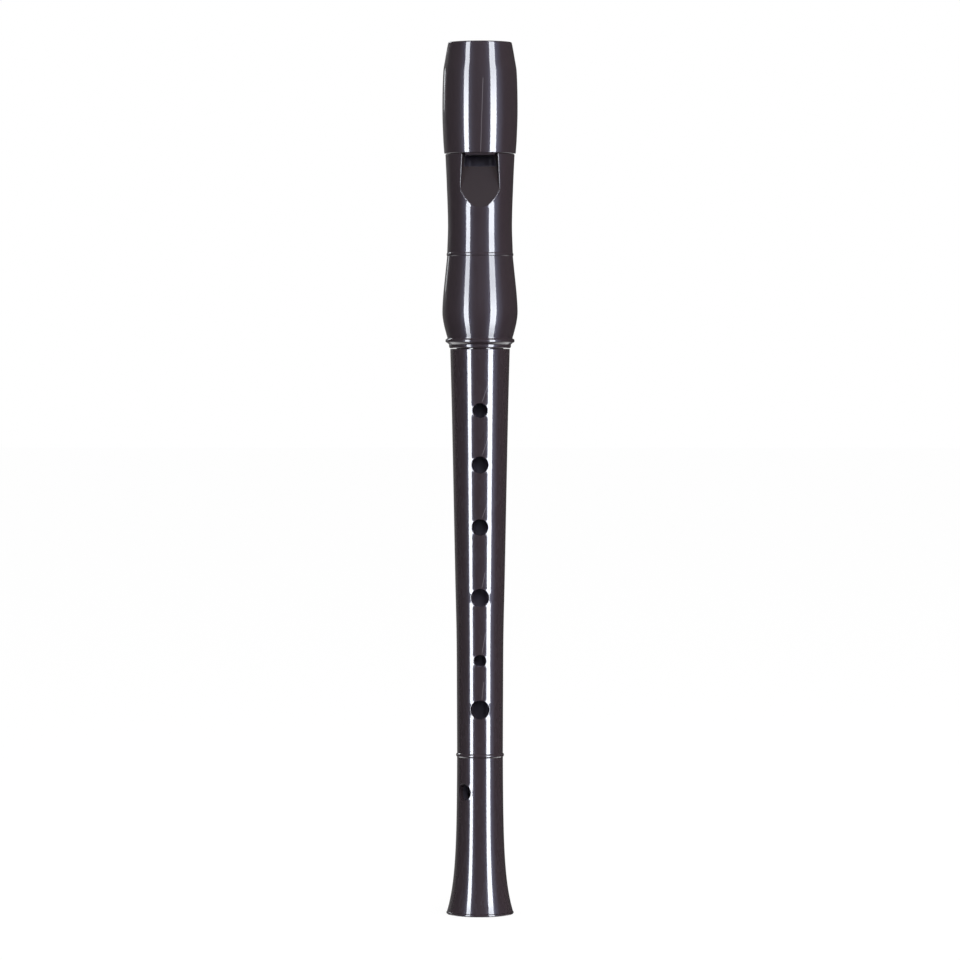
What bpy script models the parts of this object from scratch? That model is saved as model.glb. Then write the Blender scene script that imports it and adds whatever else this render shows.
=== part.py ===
"""Sopranino recorder in moulded plastic, standing on its foot end.

The bore runs along Z and the origin is the centre of the foot end. The finger holes and the
window face -Y, the thumb hole and the cut of the beak face +Y. Lengths are in metres.
"""

import math

import bmesh
import bpy

MM = 0.001

# Clearance between pieces that touch
SEAT_GAP = 0.3 * MM

# Body, from the foot end up to the shoulder that the head joint sits on
BODY_LENGTH = 159.0 * MM
BODY_TOP_RADIUS = 8.38 * MM
BODY_WAIST_RADIUS = 6.62 * MM
BODY_WAIST_DEPTH = 80.9 * MM
BODY_LOW_RADIUS = 6.46 * MM
SHOULDER_ROUND = 0.35 * MM

# Tenon that the head joint slides and turns on
TENON_LENGTH = 17.0 * MM
TENON_RADIUS = 6.6 * MM
TENON_CHAMFER = 0.5 * MM

# Ring above the foot
FOOT_RING_Z = 44.9 * MM
FOOT_RING_HEIGHT = 1.1 * MM
FOOT_RING_PROUD = 0.3 * MM

# Foot, which flares down to a rounded rim
FOOT_NECK_RADIUS = 6.44 * MM
FOOT_FLARE = 3.1 * MM
FOOT_FLARE_LENGTH = 9.7 * MM
RIM_RADIUS = 9.51 * MM
RIM_ROUND = 0.4 * MM

# Bore of the body, narrowest in the foot and opening again to its end
BORE_TOP_RADIUS = 4.9 * MM
BORE_NARROW_RADIUS = 3.3 * MM
BORE_NARROW_Z = 40.0 * MM
BORE_EXIT_RADIUS = 3.9 * MM
BORE_EXIT_CHAMFER = 0.6 * MM

# Finger holes: depth below the shoulder, diameter, and turn round the bore from the front
FINGER_HOLES = (
    ("hole_1", 17.1 * MM, 4.1 * MM, 0.0),
    ("hole_2", 32.3 * MM, 4.6 * MM, 0.0),
    ("hole_3", 49.8 * MM, 4.5 * MM, 0.0),
    ("hole_4", 69.6 * MM, 5.0 * MM, 0.0),
    ("hole_5", 87.3 * MM, 3.4 * MM, 0.0),
    ("hole_6", 101.0 * MM, 5.2 * MM, 0.0),
    ("hole_7", 124.4 * MM, 4.8 * MM, -45.7),
    ("thumb_hole", 7.7 * MM, 4.5 * MM, 180.0),
)

# Head joint, from its lower end up to the shoulder that the mouthpiece cap sits on
HEAD_LENGTH = 54.25 * MM
HEAD_END_RADIUS = 8.4 * MM
HEAD_LIP_RADIUS = 8.75 * MM
HEAD_LIP_HEIGHT = 1.05 * MM
HEAD_BEAD_Z = 2.2 * MM
HEAD_BEAD_HEIGHT = 1.1 * MM
HEAD_BEAD_PROUD = 0.45 * MM
NECK_RADIUS = 9.26 * MM
BARREL_Z = 10.0 * MM
BARREL_RADIUS = 10.59 * MM
HEAD_RING_Z = 26.3 * MM
HEAD_RING_RADIUS = 9.24 * MM
HEAD_RING_HEIGHT = 0.95 * MM
HEAD_RING_PROUD = 0.17 * MM
HEAD_WAIST_RADIUS = 9.01 * MM
HEAD_TOP_RADIUS = 9.72 * MM
HEAD_TOP_ROUND = 0.25 * MM
HEAD_BORE_RADIUS = 5.0 * MM

# Spigot at the top of the head tube, inside the cap
SPIGOT_LENGTH = 8.0 * MM
SPIGOT_RADIUS = 8.2 * MM

# Window and lip: depth below the head tube's shoulder, and angles in degrees
LIP_DEPTH = 3.45 * MM
LIP_FROM_AXIS = 5.35 * MM
LIP_THICKNESS = 0.4 * MM
LIP_RELIEF_LENGTH = 9.0 * MM
RAMP_SLOPE = 17.7
WINDOW_WIDTH = 8.8 * MM
WINDOW_DRAFT = 13.0
WINDOW_FLARE = 4.0

# Windway, between the block's floor and the roof rib inside the cap
WINDWAY_ROOF_FROM_AXIS = 5.9 * MM
WINDWAY_EXIT_HEIGHT = 1.0 * MM
WINDWAY_ENTRY_HEIGHT = 1.4 * MM
WINDWAY_CHAMFER = 0.5 * MM
WINDWAY_DROP = 0.6 * MM

# Mouthpiece cap with the beak
CAP_LENGTH = 31.15 * MM
CAP_EDGE_RADIUS = 10.06 * MM
CAP_EDGE_ROUND = 0.2 * MM
CAP_BELLY_Z = 12.15 * MM
CAP_BELLY_RADIUS = 10.58 * MM
CAP_TIP_RADIUS = 9.23 * MM
CAP_TIP_ROUND = 0.4 * MM
CAP_CHEEK_DEPTH = 8.2 * MM
CAP_CHEEK_RADIUS = 10.32 * MM

# Hollow cut on the thumb side of the beak
BEAK_TIP_THICKNESS = 7.0 * MM
BEAK_CUT_LENGTH = 22.0 * MM
BEAK_HOLLOW = 1.2 * MM

# Facets of the round shapes, and the distance under which two points are one
TURN_STEPS = 48
HOLE_STEPS = 24
BEAK_STEPS = 128
FLARE_STEPS = 14
FLARE_CROWDING = 1.7
SAME_POINT = 0.001 * MM

PLASTIC_COLOUR = (0.040, 0.031, 0.037, 1.0)
BLOCK_COLOUR = (0.034, 0.028, 0.033, 1.0)


def new_collection(name):
    collection = bpy.data.collections.new(name)
    bpy.context.scene.collection.children.link(collection)
    return collection


def plastic(name, colour, roughness):
    material = bpy.data.materials.new(name)
    material.use_nodes = True
    shader = material.node_tree.nodes["Principled BSDF"]
    shader.inputs["Base Color"].default_value = colour
    shader.inputs["Roughness"].default_value = roughness
    shader.inputs["Metallic"].default_value = 0.0
    material.diffuse_color = colour
    return material


def place(obj, collection, parent, z=0.0):
    """Moves an object into a collection and stands it at height z above its parent."""
    for other in list(obj.users_collection):
        other.objects.unlink(obj)
    collection.objects.link(obj)
    obj.parent = parent
    obj.location.z += z
    return obj


def as_cutter(obj, cutters, parent):
    place(obj, cutters, parent)
    obj.hide_render = True
    obj.display_type = "WIRE"
    return obj


# Outlines are lists of (radius, height), from the top of a piece down its outer side


def arc(centre, radius, start, end, steps):
    """Round stretch of an outline; angles are in degrees, 0 outwards and 90 upwards."""
    points = []
    for step in range(steps + 1):
        angle = math.radians(start + (end - start) * step / steps)
        points.append((centre[0] + radius * math.cos(angle), centre[1] + radius * math.sin(angle)))
    return points


def bead(radius, z, height, proud, steps=4):
    """Half-round bead that stands proud of a radius, as an arc through its edges and its crest."""
    half = height / 2
    round_radius = (half * half + proud * proud) / (2 * proud)
    spread = math.degrees(math.asin(half / round_radius))
    return arc((radius + proud - round_radius, z), round_radius, spread, -spread, steps)


def cove(start, end, steps=3):
    """Quarter hollow from one point in and down to another."""
    points = []
    for step in range(steps + 1):
        angle = math.pi / 2 * step / steps
        radius = end[0] + (start[0] - end[0]) * (1 - math.sin(angle))
        height = end[1] + (start[1] - end[1]) * math.cos(angle)
        points.append((radius, height))
    return points


def flowing(stations, steps=3):
    """Smooth outline through stations, with a cubic between each two."""
    slopes = []
    for index in range(len(stations)):
        before = stations[max(index - 1, 0)]
        after = stations[min(index + 1, len(stations) - 1)]
        slopes.append((after[0] - before[0]) / (after[1] - before[1]))
    points = [stations[0]]
    for index in range(len(stations) - 1):
        r0, z0 = stations[index]
        r1, z1 = stations[index + 1]
        span = z1 - z0
        for step in range(1, steps + 1):
            t = step / steps
            radius = (2 * t**3 - 3 * t**2 + 1) * r0 + (3 * t**2 - 2 * t**3) * r1
            radius += (t**3 - 2 * t**2 + t) * span * slopes[index]
            radius += (t**3 - t**2) * span * slopes[index + 1]
            points.append((radius, z0 + t * span))
    return points


def between(low, high, share):
    return low + (high - low) * share


def turned(name, outline, material, collection, parent, z=0.0):
    """Hollow turned piece: a closed outline swept once round the bore."""
    mesh = bpy.data.meshes.new(name)
    edges = [(index, (index + 1) % len(outline)) for index in range(len(outline))]
    mesh.from_pydata([(radius, 0.0, height) for radius, height in outline], edges, [])
    obj = bpy.data.objects.new(name, mesh)
    place(obj, collection, parent, z)
    sweep = obj.modifiers.new("Turn", "SCREW")
    sweep.steps = TURN_STEPS
    sweep.render_steps = TURN_STEPS
    sweep.use_merge_vertices = True
    sweep.merge_threshold = SAME_POINT
    sweep.use_smooth_shade = True
    mesh.materials.append(material)
    return obj


def cut(obj, cutter):
    modifier = obj.modifiers.new("Cut " + cutter.name, "BOOLEAN")
    modifier.operation = "DIFFERENCE"
    modifier.solver = "EXACT"
    modifier.object = cutter


def join(obj, addition):
    modifier = obj.modifiers.new("Join " + addition.name, "BOOLEAN")
    modifier.operation = "UNION"
    modifier.solver = "EXACT"
    modifier.object = addition


def wedge(name, x_at, y_range, z_range):
    """Box with flat sides whose half width x_at(y, z) may change from corner to corner.

    y_range gives the two y values at the low z and the two at the high z.
    """
    bpy.ops.mesh.primitive_cube_add(size=2.0, location=(0.0, 0.0, 0.0))
    obj = bpy.context.object
    obj.name = name
    for vertex in obj.data.vertices:
        side = 1 if vertex.co.x > 0 else -1
        front = 0 if vertex.co.y < 0 else 1
        top = 0 if vertex.co.z < 0 else 1
        y = y_range[top][front]
        z = z_range[top]
        vertex.co = (side * x_at(y, z), y, z)
    return obj


def chamfer_edge(obj, y, z, width):
    """Bevels the one edge of a wedge that runs along X at y and z."""
    shape = bmesh.new()
    shape.from_mesh(obj.data)
    line = []
    for edge in shape.edges:
        off_y = max(abs(vertex.co.y - y) for vertex in edge.verts)
        off_z = max(abs(vertex.co.z - z) for vertex in edge.verts)
        if off_y < SAME_POINT and off_z < SAME_POINT:
            line.append(edge)
    bmesh.ops.bevel(shape, geom=line, offset=width, segments=1, affect="EDGES")
    shape.to_mesh(obj.data)
    shape.free()


def rod(name, radius, length, steps, location, rotation):
    bpy.ops.mesh.primitive_cylinder_add(
        vertices=steps, radius=radius, depth=length, location=location, rotation=rotation
    )
    obj = bpy.context.object
    obj.name = name
    return obj


def body_outline():
    """Tenon, tapered body, ring, flared foot, and the bore going back up."""
    tenon_top = BODY_LENGTH + TENON_LENGTH
    outline = [
        (TENON_RADIUS - TENON_CHAMFER, tenon_top),
        (TENON_RADIUS, tenon_top - TENON_CHAMFER),
        (TENON_RADIUS, BODY_LENGTH),
    ]
    edge_centre = (BODY_TOP_RADIUS - SHOULDER_ROUND, BODY_LENGTH - SHOULDER_ROUND)
    outline += arc(edge_centre, SHOULDER_ROUND, 90, 0, 3)
    waist_z = BODY_LENGTH - BODY_WAIST_DEPTH
    ring_top = FOOT_RING_Z + FOOT_RING_HEIGHT / 2
    taper_start = edge_centre[1]
    stations = [
        (BODY_TOP_RADIUS, taper_start),
        (between(BODY_WAIST_RADIUS, BODY_TOP_RADIUS, 0.73), between(waist_z, taper_start, 0.77)),
        (between(BODY_WAIST_RADIUS, BODY_TOP_RADIUS, 0.21), between(waist_z, taper_start, 0.21)),
        (BODY_WAIST_RADIUS, waist_z),
        (between(BODY_LOW_RADIUS, BODY_WAIST_RADIUS, 0.4), between(ring_top, waist_z, 0.5)),
        (BODY_LOW_RADIUS, ring_top),
    ]
    outline += flowing(stations, 2)[1:]
    outline += bead(BODY_LOW_RADIUS, FOOT_RING_Z, FOOT_RING_HEIGHT, FOOT_RING_PROUD)[1:-1]
    flare_top = FOOT_RING_Z - FOOT_RING_HEIGHT / 2
    flare_end = 2 * RIM_ROUND
    for step in range(FLARE_STEPS + 1):
        z = between(flare_end, flare_top, (1 - step / FLARE_STEPS) ** FLARE_CROWDING)
        outline.append((FOOT_NECK_RADIUS + FOOT_FLARE * math.exp(-z / FOOT_FLARE_LENGTH), z))
    outline += arc((RIM_RADIUS - RIM_ROUND, RIM_ROUND), RIM_ROUND, 45, -90, 4)
    outline += [
        (BORE_EXIT_RADIUS + BORE_EXIT_CHAMFER, 0.0),
        (BORE_EXIT_RADIUS, BORE_EXIT_CHAMFER),
        (BORE_NARROW_RADIUS, BORE_NARROW_Z),
        (BORE_TOP_RADIUS, tenon_top),
    ]
    return outline


def head_outline():
    """Spigot, waist, ring, barrel, bead and lip, and the socket and bore going back up."""
    outline = [
        (SPIGOT_RADIUS, HEAD_LENGTH + SPIGOT_LENGTH),
        (SPIGOT_RADIUS, HEAD_LENGTH),
    ]
    ring_top = HEAD_RING_Z + HEAD_RING_HEIGHT / 2
    ring_bottom = HEAD_RING_Z - HEAD_RING_HEIGHT / 2
    edge_centre = (HEAD_TOP_RADIUS - HEAD_TOP_ROUND, HEAD_LENGTH - HEAD_TOP_ROUND)
    outline += arc(edge_centre, HEAD_TOP_ROUND, 90, 0, 3)[:-1]
    waist = [
        (HEAD_TOP_RADIUS, edge_centre[1]),
        (between(HEAD_WAIST_RADIUS, HEAD_TOP_RADIUS, 0.48), between(ring_top, HEAD_LENGTH, 0.7)),
        (HEAD_WAIST_RADIUS, between(ring_top, HEAD_LENGTH, 0.29)),
        (HEAD_RING_RADIUS, ring_top),
    ]
    outline += flowing(waist, 3)
    outline += bead(HEAD_RING_RADIUS, HEAD_RING_Z, HEAD_RING_HEIGHT, HEAD_RING_PROUD, 4)[1:-1]
    bead_top = HEAD_BEAD_Z + HEAD_BEAD_HEIGHT / 2
    bead_bottom = HEAD_BEAD_Z - HEAD_BEAD_HEIGHT / 2
    barrel = [
        (HEAD_RING_RADIUS, ring_bottom),
        (between(HEAD_RING_RADIUS, BARREL_RADIUS, 0.4), between(BARREL_Z, ring_bottom, 0.67)),
        (between(HEAD_RING_RADIUS, BARREL_RADIUS, 0.81), between(BARREL_Z, ring_bottom, 0.32)),
        (BARREL_RADIUS, BARREL_Z),
        (between(NECK_RADIUS, BARREL_RADIUS, 0.76), between(bead_top, BARREL_Z, 0.61)),
        (between(NECK_RADIUS, BARREL_RADIUS, 0.19), between(bead_top, BARREL_Z, 0.22)),
        (NECK_RADIUS, bead_top),
    ]
    outline += flowing(barrel, 3)
    outline += bead(NECK_RADIUS, HEAD_BEAD_Z, HEAD_BEAD_HEIGHT, HEAD_BEAD_PROUD, 6)[1:-1]
    outline += cove((NECK_RADIUS, bead_bottom), (HEAD_LIP_RADIUS, HEAD_LIP_HEIGHT))
    outline += [
        (between(HEAD_END_RADIUS, HEAD_LIP_RADIUS, 0.75), HEAD_LIP_HEIGHT / 2),
        (HEAD_END_RADIUS, 0.0),
    ]
    socket_radius = TENON_RADIUS + SEAT_GAP
    outline += [
        (socket_radius, 0.0),
        (socket_radius, TENON_LENGTH),
        (HEAD_BORE_RADIUS, TENON_LENGTH),
        (HEAD_BORE_RADIUS, HEAD_LENGTH + SPIGOT_LENGTH),
    ]
    return outline


def cap_outline():
    """Beak and belly, the sleeve over the spigot, and the bore that holds the block."""
    tip_centre = (CAP_TIP_RADIUS - CAP_TIP_ROUND, CAP_LENGTH - CAP_TIP_ROUND)
    outline = arc(tip_centre, CAP_TIP_ROUND, 90, 0, 3)
    cheek_z = CAP_LENGTH - CAP_CHEEK_DEPTH
    stations = [
        (CAP_TIP_RADIUS, tip_centre[1]),
        (between(CAP_TIP_RADIUS, CAP_CHEEK_RADIUS, 0.45), between(cheek_z, tip_centre[1], 0.5)),
        (CAP_CHEEK_RADIUS, cheek_z),
        (CAP_BELLY_RADIUS, CAP_BELLY_Z),
        (between(CAP_EDGE_RADIUS, CAP_BELLY_RADIUS, 0.5), CAP_BELLY_Z * 0.32),
        (CAP_EDGE_RADIUS, CAP_EDGE_ROUND),
    ]
    outline += flowing(stations, 3)[1:]
    edge_centre = (CAP_EDGE_RADIUS - CAP_EDGE_ROUND, CAP_EDGE_ROUND)
    outline += arc(edge_centre, CAP_EDGE_ROUND, 0, -90, 2)[1:]
    sleeve_radius = SPIGOT_RADIUS + SEAT_GAP
    outline += [
        (sleeve_radius, 0.0),
        (sleeve_radius, SPIGOT_LENGTH),
        (HEAD_BORE_RADIUS, SPIGOT_LENGTH),
        (HEAD_BORE_RADIUS, CAP_LENGTH),
    ]
    return outline


def beak_cutter(cutters, parent):
    """Large roller that leaves the hollow slant on the thumb side of the beak."""
    tip = (-CAP_TIP_RADIUS + BEAK_TIP_THICKNESS, CAP_LENGTH)
    heel = (CAP_BELLY_RADIUS, CAP_LENGTH - BEAK_CUT_LENGTH)
    run_y = tip[0] - heel[0]
    run_z = tip[1] - heel[1]
    chord = math.hypot(run_y, run_z)
    radius = chord * chord / (8 * BEAK_HOLLOW) + BEAK_HOLLOW / 2
    reach = radius - BEAK_HOLLOW
    centre_y = (tip[0] + heel[0]) / 2 + reach * run_z / chord
    centre_z = (tip[1] + heel[1]) / 2 - reach * run_y / chord
    width = 4 * CAP_BELLY_RADIUS
    place_at = (0.0, centre_y, centre_z)
    obj = rod("beak_roller", radius, width, BEAK_STEPS, place_at, (0.0, math.pi / 2, 0.0))
    return as_cutter(obj, cutters, parent)


def build_body(parts, cutters, foot):
    colour = plastic("body_tube_plastic", PLASTIC_COLOUR, 0.22)
    body = turned("body_tube", body_outline(), colour, parts, foot)
    reach = 2 * BODY_TOP_RADIUS
    for name, depth, diameter, turn in FINGER_HOLES:
        angle = math.radians(turn)
        direction = (math.sin(angle), -math.cos(angle))
        centre = (direction[0] * reach / 2, direction[1] * reach / 2, BODY_LENGTH - depth)
        drill = rod(name, diameter / 2, reach, HOLE_STEPS, centre, (math.pi / 2, 0.0, angle))
        cut(body, as_cutter(drill, cutters, foot))


def build_head_tube(parts, cutters, head):
    colour = plastic("head_tube_plastic", PLASTIC_COLOUR, 0.22)
    tube = turned("head_tube", head_outline(), colour, parts, head)
    lip_z = HEAD_LENGTH - LIP_DEPTH
    outside = 2 * BARREL_RADIUS
    inside = WINDOW_WIDTH / 2

    # Window, carried on up the spigot as the slot for the windway
    window = wedge(
        "window",
        lambda y, z: inside,
        ((-outside, 0.0), (-outside, 0.0)),
        (lip_z, HEAD_LENGTH + 2 * SPIGOT_LENGTH),
    )
    cut(tube, as_cutter(window, cutters, head))

    # Ramp down to the lip, between side walls that open out and downwards
    slope = math.tan(math.radians(RAMP_SLOPE))
    draft = math.tan(math.radians(WINDOW_DRAFT))
    flare = math.tan(math.radians(WINDOW_FLARE))
    ramp_low = lip_z - (outside - LIP_FROM_AXIS) / slope
    lip_top_y = -LIP_FROM_AXIS + slope * (HEAD_LENGTH + SEAT_GAP - lip_z)

    def ramp_half_width(y, z):
        return inside + draft * (-y - LIP_FROM_AXIS) + flare * (HEAD_LENGTH - z)

    ramp = wedge(
        "ramp",
        ramp_half_width,
        ((-outside - MM, -outside), (-outside, lip_top_y)),
        (ramp_low, HEAD_LENGTH + SEAT_GAP),
    )
    cut(tube, as_cutter(ramp, cutters, head))

    # Flat relief under the lip, which leaves it thin across its whole width
    under_y = LIP_THICKNESS - LIP_FROM_AXIS
    rise = under_y / LIP_RELIEF_LENGTH
    relief = wedge(
        "lip_relief",
        lambda y, z: inside,
        ((0.0, MM), (under_y + rise * MM, MM)),
        (lip_z - LIP_RELIEF_LENGTH, lip_z + MM),
    )
    cut(tube, as_cutter(relief, cutters, head))


def build_cap(parts, cutters, cap_base, roller):
    colour = plastic("mouthpiece_cap_plastic", PLASTIC_COLOUR, 0.20)
    cap = turned("mouthpiece_cap", cap_outline(), colour, parts, cap_base)
    rib_y = (-(SPIGOT_RADIUS + CAP_EDGE_RADIUS) / 2, -WINDWAY_ROOF_FROM_AXIS)
    rib = wedge(
        "windway_roof_rib",
        lambda y, z: WINDOW_WIDTH / 2 - SEAT_GAP,
        (rib_y, rib_y),
        (-WINDWAY_DROP, SPIGOT_LENGTH + MM),
    )
    chamfer_edge(rib, -WINDWAY_ROOF_FROM_AXIS, -WINDWAY_DROP, WINDWAY_CHAMFER)
    join(cap, as_cutter(rib, cutters, cap_base))
    channel = wedge(
        "windway_channel",
        lambda y, z: WINDOW_WIDTH / 2,
        ((-WINDWAY_ROOF_FROM_AXIS, 0.0), (-WINDWAY_ROOF_FROM_AXIS, 0.0)),
        (SPIGOT_LENGTH, CAP_LENGTH + MM),
    )
    cut(cap, as_cutter(channel, cutters, cap_base))
    cut(cap, roller)


def build_block(parts, cutters, cap_base, roller):
    colour = plastic("windway_block_plastic", BLOCK_COLOUR, 0.35)
    radius = HEAD_BORE_RADIUS - SEAT_GAP
    length = CAP_LENGTH + WINDWAY_DROP
    middle = (0.0, 0.0, length / 2 - WINDWAY_DROP)
    block = rod("windway_block", radius, length, TURN_STEPS, middle, (0.0, 0.0, 0.0))
    block.data.materials.append(colour)
    place(block, parts, cap_base)

    # Windway floor: a flat as wide as the slot, a little lower at the beak than at the window
    exit_y = WINDWAY_EXIT_HEIGHT - WINDWAY_ROOF_FROM_AXIS
    entry_y = WINDWAY_ENTRY_HEIGHT - WINDWAY_ROOF_FROM_AXIS
    floor = wedge(
        "windway_floor",
        lambda y, z: WINDOW_WIDTH / 2 - SEAT_GAP,
        ((exit_y, -SEAT_GAP), (entry_y, -SEAT_GAP)),
        (-WINDWAY_DROP, CAP_LENGTH),
    )
    chamfer_edge(floor, exit_y, -WINDWAY_DROP, WINDWAY_CHAMFER)
    join(block, as_cutter(floor, cutters, cap_base))

    # The round of the block is planed off level with that floor
    rise = (entry_y - exit_y) / length
    plane = wedge(
        "floor_plane",
        lambda y, z: 2 * radius,
        ((-2 * radius, exit_y - rise * MM), (-2 * radius, entry_y + rise * MM)),
        (-WINDWAY_DROP - MM, CAP_LENGTH + MM),
    )
    cut(block, as_cutter(plane, cutters, cap_base))
    cut(block, roller)


def main():
    for obj in list(bpy.data.objects):
        bpy.data.objects.remove(obj, do_unlink=True)
    parts = new_collection("sopranino_recorder")
    cutters = new_collection("cutters")
    foot = bpy.data.objects.new("foot_end", None)
    parts.objects.link(foot)
    head = bpy.data.objects.new("head_joint", None)
    place(head, parts, foot, BODY_LENGTH + SEAT_GAP)
    cap_base = bpy.data.objects.new("cap_base", None)
    place(cap_base, parts, head, HEAD_LENGTH + SEAT_GAP)
    build_body(parts, cutters, foot)
    build_head_tube(parts, cutters, head)
    roller = beak_cutter(cutters, cap_base)
    build_cap(parts, cutters, cap_base, roller)
    build_block(parts, cutters, cap_base, roller)


main()
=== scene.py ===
"""Looks of the sopranino recorder: fine shapes, polished plastic, a pale floor and studio light."""

import math

import bmesh
import bpy
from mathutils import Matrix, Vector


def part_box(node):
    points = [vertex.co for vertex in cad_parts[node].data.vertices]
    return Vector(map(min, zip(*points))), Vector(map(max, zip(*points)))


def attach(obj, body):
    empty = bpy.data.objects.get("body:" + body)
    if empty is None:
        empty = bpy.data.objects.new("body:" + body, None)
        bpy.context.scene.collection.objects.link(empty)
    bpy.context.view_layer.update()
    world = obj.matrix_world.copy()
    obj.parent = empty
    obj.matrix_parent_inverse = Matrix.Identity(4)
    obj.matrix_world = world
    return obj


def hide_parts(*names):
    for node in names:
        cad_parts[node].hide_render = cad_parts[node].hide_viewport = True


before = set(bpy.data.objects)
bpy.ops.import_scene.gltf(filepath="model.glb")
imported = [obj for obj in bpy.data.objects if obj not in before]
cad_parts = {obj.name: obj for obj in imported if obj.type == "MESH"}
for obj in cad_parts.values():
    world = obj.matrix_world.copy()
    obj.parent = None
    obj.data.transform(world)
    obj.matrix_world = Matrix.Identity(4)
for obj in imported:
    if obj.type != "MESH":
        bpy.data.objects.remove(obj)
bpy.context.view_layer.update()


# Body tube
# Body and foot in one moulding of dark brown ABS, polished outside. It tapers from the shoulder
# under the head joint to a waist, and flares again below a fine ring to the rounded foot rim.

MM = 0.001
TURN_STEPS = 192
ONE_POINT = 0.002 * MM

BODY_LENGTH = 159.0 * MM
BODY_TOP_RADIUS = 8.38 * MM
BODY_WAIST_RADIUS = 6.62 * MM
BODY_WAIST_DEPTH = 80.9 * MM
BODY_LOW_RADIUS = 6.46 * MM
SHOULDER_LIFT = 0.15 * MM
SHOULDER_ROUND = 0.18 * MM
TENON_RADIUS = 6.6 * MM
TENON_CHAMFER = 0.5 * MM

FOOT_RING_Z = 44.9 * MM
FOOT_RING_HEIGHT = 1.1 * MM
FOOT_RING_PROUD = 0.3 * MM
FOOT_NECK_RADIUS = 6.44 * MM
FOOT_FLARE = 3.1 * MM
FOOT_FLARE_LENGTH = 9.7 * MM
RIM_ROUND = 0.4 * MM
RIM_START = 75.0

BORE_NARROW_RADIUS = 3.3 * MM
BORE_NARROW_Z = 40.0 * MM
BORE_TOP_RADIUS = 4.9 * MM
BORE_EXIT_RADIUS = 3.9 * MM
BORE_EXIT_CHAMFER = 0.6 * MM

BODY_SPACING = 0.6 * MM
BORE_SPACING = 2.5 * MM

body_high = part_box("body_tube")[1]
tenon_top = body_high[2]
rim_radius = body_high[0]


def between(low, high, share):
    return low + (high - low) * share


def arc(centre, radius, start, end, steps):
    """Round stretch of an outline; angles are in degrees, 0 outwards and 90 upwards."""
    points = []
    for step in range(steps + 1):
        angle = math.radians(between(start, end, step / steps))
        points.append((centre[0] + radius * math.cos(angle), centre[1] + radius * math.sin(angle)))
    return points


def bead(radius, z, height, proud, steps=8):
    """Half-round bead that stands proud of a radius, as an arc through its edges and its crest."""
    half = height / 2
    round_radius = (half * half + proud * proud) / (2 * proud)
    spread = math.degrees(math.asin(half / round_radius))
    return arc((radius + proud - round_radius, z), round_radius, spread, -spread, steps)


def straight(start, end, spacing):
    """Straight stretch of an outline, cut into short lengths and without its first point."""
    steps = max(1, round(math.dist(start, end) / spacing))
    return [
        (between(start[0], end[0], step / steps), between(start[1], end[1], step / steps))
        for step in range(1, steps + 1)
    ]


def flowing(stations, spacing):
    """Smooth outline through stations, with a cubic between each two."""
    slopes = []
    for index in range(len(stations)):
        before = stations[max(index - 1, 0)]
        after = stations[min(index + 1, len(stations) - 1)]
        slopes.append((after[0] - before[0]) / (after[1] - before[1]))
    points = [stations[0]]
    for index in range(len(stations) - 1):
        r0, z0 = stations[index]
        r1, z1 = stations[index + 1]
        span = z1 - z0
        steps = max(1, round(abs(span) / spacing))
        for step in range(1, steps + 1):
            t = step / steps
            radius = (2 * t**3 - 3 * t**2 + 1) * r0 + (3 * t**2 - 2 * t**3) * r1
            radius += (t**3 - 2 * t**2 + t) * span * slopes[index]
            radius += (t**3 - t**2) * span * slopes[index + 1]
            points.append((radius, z0 + t * span))
    return points


def edit(obj):
    """Opens one object alone in edit mode, with nothing selected in it."""
    if bpy.context.mode != "OBJECT":
        bpy.ops.object.mode_set(mode="OBJECT")
    bpy.ops.object.select_all(action="DESELECT")
    obj.select_set(True)
    bpy.context.view_layer.objects.active = obj
    bpy.ops.object.mode_set(mode="EDIT")
    bpy.ops.mesh.select_all(action="DESELECT")


def leave_edit():
    bpy.ops.object.mode_set(mode="OBJECT")


def turned(name, outline, closed):
    """Draws an outline of (radius, height) points point by point and spins it round the bore."""
    bpy.ops.object.select_all(action="DESELECT")
    bpy.ops.mesh.primitive_plane_add(size=MM, location=(0.0, 0.0, 0.0))
    obj = bpy.context.object
    obj.name = name
    bpy.ops.object.mode_set(mode="EDIT")
    bpy.ops.mesh.select_mode(type="VERT")
    bpy.ops.mesh.merge(type="CENTER")
    radius, height = outline[0]
    bpy.ops.transform.translate(value=(radius, 0.0, height))
    for before, after in zip(outline, outline[1:]):
        move = (after[0] - before[0], 0.0, after[1] - before[1])
        bpy.ops.mesh.extrude_vertices_move(TRANSFORM_OT_translate={"value": move})
    bpy.ops.mesh.select_all(action="SELECT")
    if closed:
        shape = bmesh.from_edit_mesh(obj.data)
        ends = [vertex for vertex in shape.verts if len(vertex.link_edges) == 1]
        shape.edges.new(ends)
        bmesh.update_edit_mesh(obj.data)
        bpy.ops.mesh.select_all(action="SELECT")
    bpy.ops.mesh.spin(
        steps=TURN_STEPS, angle=2 * math.pi, center=(0.0, 0.0, 0.0), axis=(0.0, 0.0, 1.0)
    )
    bpy.ops.mesh.select_all(action="SELECT")
    bpy.ops.mesh.remove_doubles(threshold=ONE_POINT)
    bpy.ops.mesh.normals_make_consistent(inside=False)
    leave_edit()
    return obj


def smooth(obj, angle=32.0):
    """Shades an object smooth, with its sharp edges kept."""
    bpy.ops.object.select_all(action="DESELECT")
    obj.select_set(True)
    bpy.context.view_layer.objects.active = obj
    bpy.ops.object.shade_smooth_by_angle(angle=math.radians(angle))


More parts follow.
